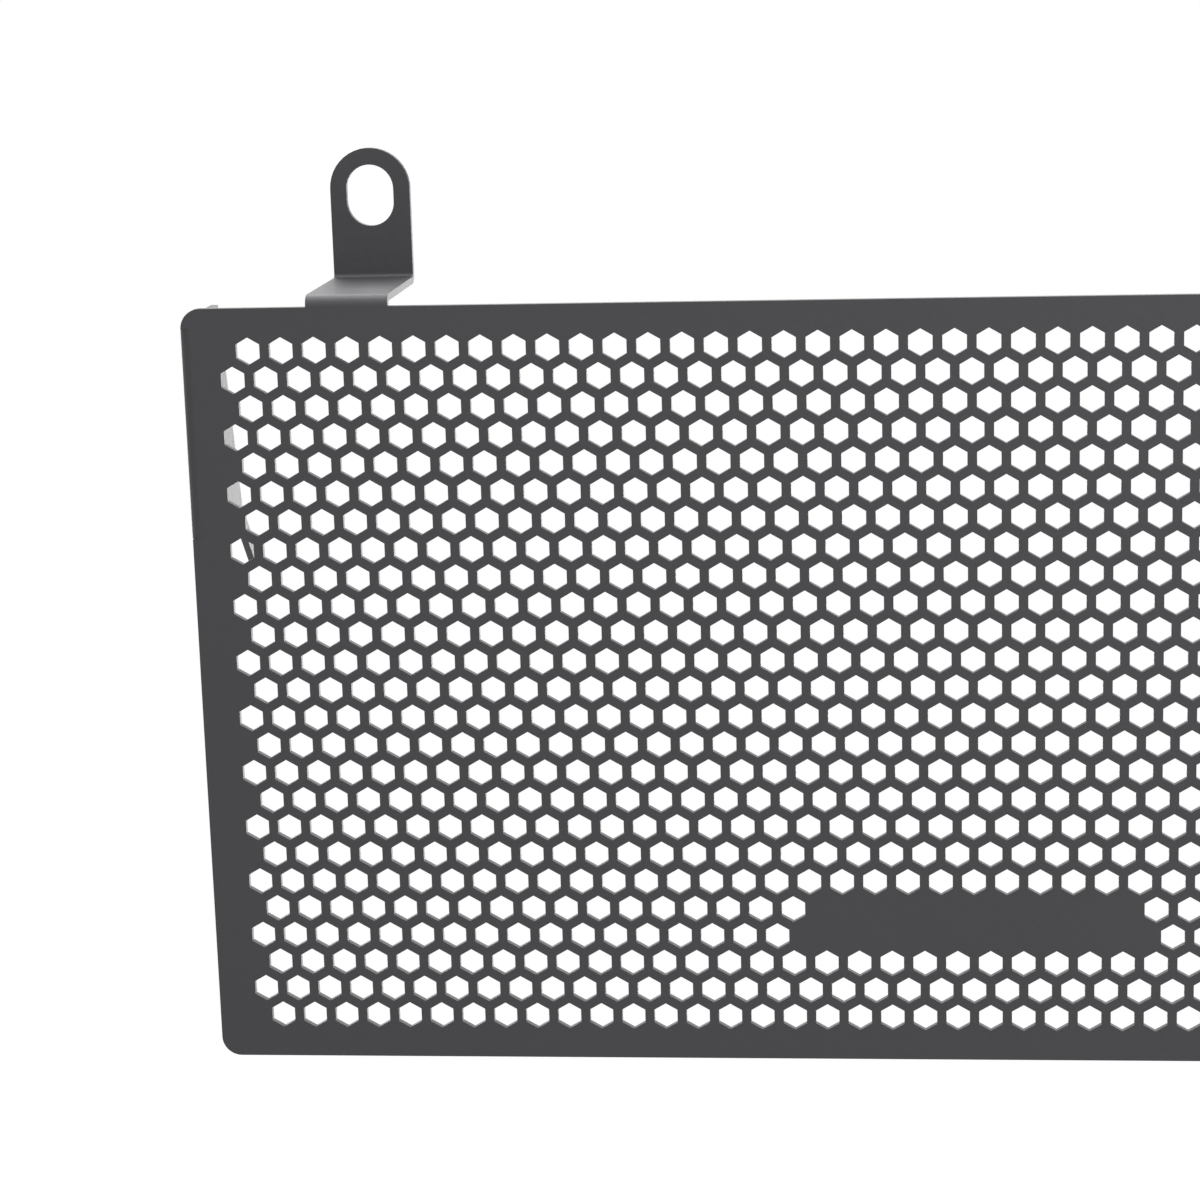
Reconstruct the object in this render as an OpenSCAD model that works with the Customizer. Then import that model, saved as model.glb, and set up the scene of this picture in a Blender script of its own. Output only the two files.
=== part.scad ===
// Guard for a motorcycle radiator: one laser-cut and folded sheet.
// A flat panel of hexagonal holes, two cranked tabs on its top edge with
// slots for the bolts, and a lug folded back from each side.
// The origin is midway between the two slots, on the tabs' rear faces.
// +Z is up, the panel faces -Y and the radiator stands behind it, at +Y.

/* [Sheet] */
// Thickness of the sheet
thickness = 1.5; // [1:0.1:2.5]
// Inner radius of every fold
bend = 0.8; // [0.5:0.1:2]
// Radius of the panel's corners
corner = 4.2; // [3.5:0.1:8]
// Depth of the faint crown that stiffens the field of holes
crown = 0.1; // [0.05:0.05:0.5]

/* [Field of holes] */
// Distance between the centres of neighbouring holes
pitch = 7; // [6:0.5:12]
// Width of a hole across its flats
hole = 5; // [3:0.1:5.5]
// Holes in the longer rows
columns = 45; // [25:1:45]
// Number of rows
rows = 25; // [25:1:31]
// From the outermost hole's centre to the side edge
side_margin = 10.5; // [8:0.5:20]
// From the top row's centres to the top edge
top_margin = 9; // [7:0.5:20]
// From the bottom row's centres to the bottom edge
bottom_margin = 9.5; // [7:0.5:20]

/* [Nameplate] */
// First of the two rows that leave room for the nameplate
plate_row = 21; // [3:1:23]
// Width of the bare field
plate_width = 73; // [0:1:150]

/* [Top tabs] */
// Distance between the two slots
slot_spacing = 258.5; // [150:0.5:280]
// Width of a tab
tab_width = 17.3; // [14:0.1:30]
// From the panel's front to the tabs' rear faces
reach = 35; // [12:0.5:60]
// Straight part between the panel's top edge and the first fold
riser = 0.1; // [0.1:0.1:20]
// Height of the slots' centres above the shelf
slot_height = 17.6; // [14:0.1:40]
// Width of a slot
slot_width = 10.2; // [6:0.1:11]
// Length of a slot from end to end
slot_length = 13.1; // [11:0.1:16]

/* [Side lugs] */
// How far the lugs' outer faces stand out beyond the panel's free edges
lug_proud = 0.5; // [0:0.1:1]
// From the panel's top edge down to the lug's upper edge
lug_drop = 2.9; // [0.5:0.1:3.4]
// Height of the lug where it is folded
lug_height = 45.9; // [30:0.1:48]
// From the panel's front to the lug's rear edge, at the top
lug_reach = 31.6; // [20:0.1:45]
// Height of the rear edge above the arm
lug_back = 46.9; // [35:0.1:60]
// From the panel's front to the rear edge, where the arm starts
arm_reach = 44.6; // [30:0.1:60]
// Angle of the arm from the vertical
arm_angle = 46; // [30:1:60]
// Width of the arm
arm_width = 3.5; // [3:0.1:8]
// Length of the arm's rear edge
arm_length = 19.5; // [12:0.5:40]
// Radius between the lug and its arm
arm_fillet = 6; // [1:0.5:7]

/* [Hidden] */
$fn = 48;

row_step = pitch * sqrt(3) / 2;
panel_width = (columns - 1) * pitch + 2 * side_margin;
panel_height = (rows - 1) * row_step + top_margin + bottom_margin;
outer = bend + thickness;
front = -reach;
shelf = -slot_height;
top = shelf - outer - riser;
bottom = top - panel_height;
slot_half = (slot_length - slot_width) / 2;
lug_top = top - lug_drop;
lug_low = lug_top - lug_height;
fold_top = top - corner;
lug_corner = [lug_reach, lug_top];
knee = [arm_reach, lug_top - lug_back];
across = [cos(arm_angle), sin(arm_angle)];
straight = arm_length - arm_width / 2;
overlap = 0.01;
crown_rows = [8, 12, 16, 20];

function row_z(r) = top - top_margin - (r - 1) * row_step;
function between(r) = (row_z(r) + row_z(r + 1)) / 2;
// Depth at height z of the line that runs at a distance in front of the arm's rear edge.
function arm_line(distance, z) = (knee * across - distance - z * across[1]) / across[0];
function in_plate(x, r) = (r == plate_row || r == plate_row + 1) && abs(x) < plate_width / 2;

// Lays a drawing of depth and height on the side view, extruded along X.
module side_view(width) {
  rotate([90, 0, 90]) linear_extrude(height = width) children();
}

// Lays a drawing of width and height on the front view, its rear face at Y = 0.
module front_view(depth) {
  rotate([90, 0, 0]) linear_extrude(height = depth) children();
}

// A quarter of the ring that a fold leaves, round the origin towards +X and +Y.
module fold() {
  intersection() {
    difference() {
      circle(r = outer);
      circle(r = bend);
    }
    square(outer);
  }
}

module rounded_panel() {
  half = panel_width / 2;
  translate([-half + corner, bottom]) square([panel_width - 2 * corner, panel_height]);
  translate([-half, bottom + corner]) square([panel_width, panel_height - 2 * corner]);
  for (x = [-1, 1], z = [bottom + corner, top - corner])
    translate([x * (half - corner), z]) circle(r = corner);
}

// The panel's outline, with the strips that the lugs' folds take from its sides.
module outline() {
  difference() {
    rounded_panel();
    for (side = [0, 1]) mirror([side, 0])
      translate([-panel_width / 2 - 1, lug_low]) square([outer - lug_proud + 1, fold_top - lug_low]);
  }
}

// The panel seen from its side: flats whose folds run between rows of holes.
module panel_section() {
  face = [
    [front, top],
    [front, between(crown_rows[0])],
    [front - crown, between(crown_rows[1])],
    [front - crown, between(crown_rows[2])],
    [front, between(crown_rows[3])],
    [front, bottom]
  ];
  back = [for (i = [len(face) - 1:-1:0]) face[i] + [thickness, 0]];
  polygon(concat(face, back));
}

module panel() {
  intersection() {
    translate([-panel_width / 2, 0, 0]) side_view(panel_width) panel_section();
    translate([0, front + reach / 2, 0]) front_view(reach) outline();
  }
}

// The tab from its side: riser, fold, shelf and second fold.
module tab_section() {
  translate([front, top - 1]) square([thickness, riser + 1]);
  translate([front + outer, shelf - outer]) rotate(90) fold();
  translate([front + outer, shelf - thickness]) square([reach - 2 * outer, thickness]);
  translate([-outer, shelf + bend]) rotate(-90) fold();
}

module slot() {
  for (z = [-slot_half, slot_half]) translate([0, z]) circle(d = slot_width);
  translate([-slot_width / 2, -slot_half]) square([slot_width, 2 * slot_half]);
}

// The upright end of a tab, its round concentric with the top of the slot.
module tab_end() {
  foot = shelf + bend;
  difference() {
    union() {
      translate([0, slot_half]) circle(d = tab_width);
      translate([-tab_width / 2, foot]) square([tab_width, slot_half - foot]);
    }
    slot();
  }
}

module tab() {
  translate([-tab_width / 2, 0, 0]) side_view(tab_width) tab_section();
  front_view(thickness) tab_end();
}

// The lug's arm, drawn upright from the knee in its rear edge.
module arm() {
  root = max(arm_width, (lug_low - knee[1] + arm_width) / cos(arm_angle) + arm_width);
  translate([-arm_width, -straight]) square([arm_width, straight + root]);
  translate([-arm_width / 2, -straight]) circle(d = arm_width);
}

// The round in the corner between the lug's lower edge and its arm.
module arm_round() {
  z = lug_low - arm_fillet + overlap;
  middle = [arm_line(arm_width + arm_fillet - overlap, z), z];
  side = 1.4 * arm_fillet;
  difference() {
    polygon([middle, middle + [0, side], middle + side * across]);
    translate(middle) circle(r = arm_fillet);
  }
}

// The lug's flat, drawn with the panel's front at zero depth.
module lug_flat() {
  polygon([
    [outer, fold_top],
    [outer + lug_top - fold_top, lug_top],
    lug_corner,
    1.04 * knee - 0.04 * lug_corner,
    [arm_line(arm_width / 2, lug_low), lug_low],
    [outer, lug_low]
  ]);
  translate(knee) rotate(arm_angle) arm();
  arm_round();
}

module lug() {
  translate([-panel_width / 2 - lug_proud, front, 0]) {
    side_view(thickness) lug_flat();
    translate([outer, outer, lug_low]) linear_extrude(height = fold_top - lug_low)
      rotate(180) fold();
  }
}

module holes() {
  for (r = [1:rows]) {
    count = columns - r % 2;
    for (c = [0:count - 1]) {
      x = (c - (count - 1) / 2) * pitch;
      if (!in_plate(x, r))
        translate([x, row_z(r)]) rotate(30) circle(d = hole / cos(30), $fn = 6);
    }
  }
}

module guard() {
  color([0.28, 0.28, 0.29]) difference() {
    union() {
      panel();
      for (side = [0, 1]) mirror([side, 0, 0]) {
        lug();
        translate([-slot_spacing / 2, 0, 0]) tab();
      }
    }
    translate([0, front + reach / 2, 0]) front_view(reach) holes();
  }
}

guard();
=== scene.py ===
import math

import bpy
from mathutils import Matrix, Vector


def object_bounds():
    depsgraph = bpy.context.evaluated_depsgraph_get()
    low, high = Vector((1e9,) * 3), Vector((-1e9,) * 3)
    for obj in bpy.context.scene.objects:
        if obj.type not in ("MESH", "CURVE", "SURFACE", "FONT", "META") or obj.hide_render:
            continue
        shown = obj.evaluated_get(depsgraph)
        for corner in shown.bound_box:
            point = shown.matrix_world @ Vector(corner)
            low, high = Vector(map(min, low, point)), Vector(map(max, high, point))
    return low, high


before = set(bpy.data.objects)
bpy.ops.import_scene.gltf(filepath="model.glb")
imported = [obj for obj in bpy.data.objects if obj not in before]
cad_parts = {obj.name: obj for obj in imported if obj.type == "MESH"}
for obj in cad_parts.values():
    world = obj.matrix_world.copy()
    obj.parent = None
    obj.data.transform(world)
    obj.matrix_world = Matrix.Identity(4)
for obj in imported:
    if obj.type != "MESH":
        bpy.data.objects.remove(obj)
cad_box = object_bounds()

# The guard: one sheet of metal, cut by laser and folded on a press brake, with
# its tabs and lugs in one piece with the panel. It is coated after folding, so
# the black powder also covers the walls of the holes and the cut edges.

POWDER_BLACK = (0.026, 0.0245, 0.028, 1.0)
POWDER_THIN = (0.031, 0.029, 0.033, 1.0)
CLOUDS_PER_METRE = 22.0
ROUGHNESS_LOW = 0.46
ROUGHNESS_HIGH = 0.54
ORANGE_PEEL_MM = 2.4
ORANGE_PEEL_HEIGHT = 0.0002
ORANGE_PEEL_STRENGTH = 0.25
GRAIN_MM = 0.45
GRAIN_HEIGHT = 0.00004
GRAIN_STRENGTH = 0.2

powder_coat = bpy.data.materials.new("satin_black_powder_coat")
powder_coat.use_nodes = True
coat_nodes = powder_coat.node_tree.nodes
coat_links = powder_coat.node_tree.links
coat_shader = coat_nodes["Principled BSDF"]
sheet_place = coat_nodes.new("ShaderNodeTexCoord")


def coat_noise(scale, detail):
    """A noise that stays in place on the sheet, with its scale per metre."""
    noise = coat_nodes.new("ShaderNodeTexNoise")
    noise.inputs["Scale"].default_value = scale
    noise.inputs["Detail"].default_value = detail
    coat_links.new(sheet_place.outputs["Object"], noise.inputs["Vector"])
    return noise.outputs["Fac"]


def coat_bump(height_map, height, strength):
    """A relief of the coat, at most as high as height in metres."""
    bump = coat_nodes.new("ShaderNodeBump")
    bump.inputs["Strength"].default_value = strength
    bump.inputs["Distance"].default_value = height
    coat_links.new(height_map, bump.inputs["Height"])
    return bump


cloud = coat_noise(CLOUDS_PER_METRE, detail=3.0)
grain = coat_noise(1000.0 / GRAIN_MM, detail=2.0)
orange_peel = coat_noise(1000.0 / ORANGE_PEEL_MM, detail=1.0)

cloud_colour = coat_nodes.new("ShaderNodeMix")
cloud_colour.data_type = "RGBA"
cloud_colour.inputs["A"].default_value = POWDER_BLACK
cloud_colour.inputs["B"].default_value = POWDER_THIN
coat_links.new(cloud, cloud_colour.inputs["Factor"])
coat_links.new(cloud_colour.outputs["Result"], coat_shader.inputs["Base Color"])

gloss = coat_nodes.new("ShaderNodeMapRange")
gloss.inputs["To Min"].default_value = ROUGHNESS_LOW
gloss.inputs["To Max"].default_value = ROUGHNESS_HIGH
coat_links.new(grain, gloss.inputs["Value"])
coat_links.new(gloss.outputs["Result"], coat_shader.inputs["Roughness"])

peel_bump = coat_bump(orange_peel, ORANGE_PEEL_HEIGHT, ORANGE_PEEL_STRENGTH)
grain_bump = coat_bump(grain, GRAIN_HEIGHT, GRAIN_STRENGTH)
coat_links.new(peel_bump.outputs["Normal"], grain_bump.inputs["Normal"])
coat_links.new(grain_bump.outputs["Normal"], coat_shader.inputs["Normal"])

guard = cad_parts["guard"]
for slot in guard.material_slots:
    slot.material = powder_coat

# The studio: the guard hangs high above a white floor, which turns into the white
# backdrop away from it. A soft lamp stands in front, one above lights the shelves,
# and a low one behind lights the walls of the holes and the lugs.

STUDIO_WHITE = (1.0, 1.0, 1.0, 1.0)
FLOOR_PAINT = (0.6, 0.6, 0.6, 1.0)
FLOOR_ROUGHNESS = 0.9
FLOOR_BELOW = 0.62
FLOOR_RADIUS = 3.0
LIT_FLOOR_RADIUS = 0.7
BACKDROP_RADIUS = 1.6
BACKDROP_LEVEL = 1.0
AMBIENT_LEVEL = 0.15
LAMPS_AIM_AT = Vector((0.0, 0.0, -0.1))


def seen_rays(tree):
    """1 for a ray that shows the background, whether straight, mirrored or bent."""
    path = tree.nodes.new("ShaderNodeLightPath")
    seen = path.outputs["Is Camera Ray"]
    for kind in ("Is Glossy Ray", "Is Transmission Ray"):
        either = tree.nodes.new("ShaderNodeMath")
        either.operation = "MAXIMUM"
        tree.links.new(seen, either.inputs[0])
        tree.links.new(path.outputs[kind], either.inputs[1])
        seen = either.outputs["Value"]
    return seen


white_floor = bpy.data.materials.new("white_studio_floor")
white_floor.use_nodes = True
floor_nodes = white_floor.node_tree.nodes
floor_links = white_floor.node_tree.links
floor_shader = floor_nodes["Principled BSDF"]
floor_shader.inputs["Base Color"].default_value = FLOOR_PAINT
floor_shader.inputs["Roughness"].default_value = FLOOR_ROUGHNESS
floor_shader.inputs["Specular IOR Level"].default_value = 0.0

floor_place = floor_nodes.new("ShaderNodeTexCoord")
from_middle = floor_nodes.new("ShaderNodeVectorMath")
from_middle.operation = "LENGTH"
floor_links.new(floor_place.outputs["Object"], from_middle.inputs[0])
fade = floor_nodes.new("ShaderNodeMapRange")
fade.interpolation_type = "SMOOTHSTEP"
fade.inputs["From Min"].default_value = LIT_FLOOR_RADIUS
fade.inputs["From Max"].default_value = BACKDROP_RADIUS
floor_links.new(from_middle.outputs["Value"], fade.inputs["Value"])
seen_fade = floor_nodes.new("ShaderNodeMath")
seen_fade.operation = "MULTIPLY"
floor_links.new(fade.outputs["Result"], seen_fade.inputs[0])
floor_links.new(seen_rays(white_floor.node_tree), seen_fade.inputs[1])

floor_backdrop = floor_nodes.new("ShaderNodeEmission")
floor_backdrop.inputs["Color"].default_value = STUDIO_WHITE
floor_backdrop.inputs["Strength"].default_value = BACKDROP_LEVEL
floor_blend = floor_nodes.new("ShaderNodeMixShader")
floor_links.new(seen_fade.outputs["Value"], floor_blend.inputs["Fac"])
floor_links.new(floor_shader.outputs["BSDF"], floor_blend.inputs[1])
floor_links.new(floor_backdrop.outputs["Emission"], floor_blend.inputs[2])
floor_out = floor_nodes["Material Output"]
floor_links.new(floor_blend.outputs["Shader"], floor_out.inputs["Surface"])

bpy.ops.mesh.primitive_circle_add(
    vertices=96,
    radius=FLOOR_RADIUS,
    fill_type="NGON",
    location=(0.0, 0.0, cad_box[0][2] - FLOOR_BELOW),
)
floor = bpy.context.object
floor.name = "studio_floor"
floor.data.materials.append(white_floor)

world = bpy.data.worlds.new("white_studio")
bpy.context.scene.world = world
world.use_nodes = True
world_nodes = world.node_tree.nodes
world_links = world.node_tree.links
world_nodes.clear()
backdrop = world_nodes.new("ShaderNodeBackground")
backdrop.inputs["Color"].default_value = STUDIO_WHITE
backdrop.inputs["Strength"].default_value = BACKDROP_LEVEL
ambient = world_nodes.new("ShaderNodeBackground")
ambient.inputs["Color"].default_value = STUDIO_WHITE
ambient.inputs["Strength"].default_value = AMBIENT_LEVEL
world_blend = world_nodes.new("ShaderNodeMixShader")
world_links.new(seen_rays(world.node_tree), world_blend.inputs["Fac"])
world_links.new(ambient.outputs["Background"], world_blend.inputs[1])
world_links.new(backdrop.outputs["Background"], world_blend.inputs[2])
world_out = world_nodes.new("ShaderNodeOutputWorld")
world_links.new(world_blend.outputs["Shader"], world_out.inputs["Surface"])

for name, place_at, width, height, power in (
    ("front_softbox", (0.7, -0.75, 0.6), 1.6, 1.6, 23.0),
    ("overhead_softbox", (0.0, 0.5, 1.2), 2.4, 2.4, 66.0),
    ("rear_strip", (0.0, 1.7, -0.45), 2.6, 0.6, 22.0),
):
    lamp_data = bpy.data.lights.new(name, "AREA")
    lamp_data.shape = "RECTANGLE"
    lamp_data.size = width
    lamp_data.size_y = height
    lamp_data.energy = power
    lamp = bpy.data.objects.new(name, lamp_data)
    lamp.location = place_at
    to_guard = LAMPS_AIM_AT - lamp.location
    lamp.rotation_euler = to_guard.to_track_quat("-Z", "Y").to_euler()
    lamp.visible_camera = False
    bpy.context.scene.collection.objects.link(lamp)

# The camera stands in front of the nameplate and a little above the guard, and
# the picture is the left part of what it sees, as in the photograph.

camera_data = bpy.data.cameras.new("camera")
camera_data.sensor_width = 36.0
camera_data.lens = 101.063
camera_data.shift_x = -0.055
camera_data.shift_y = 0.09
camera_data.clip_start = 0.01
camera_data.clip_end = 50.0
camera = bpy.data.objects.new("camera", camera_data)
camera.location = (0.002462, -0.724678, 0.061686)
camera.rotation_euler = [math.radians(turn) for turn in (76.4029, 1.4553, 5.2153)]
bpy.context.scene.collection.objects.link(camera)
bpy.context.scene.camera = camera

bpy.context.scene.view_settings.view_transform = "Standard"
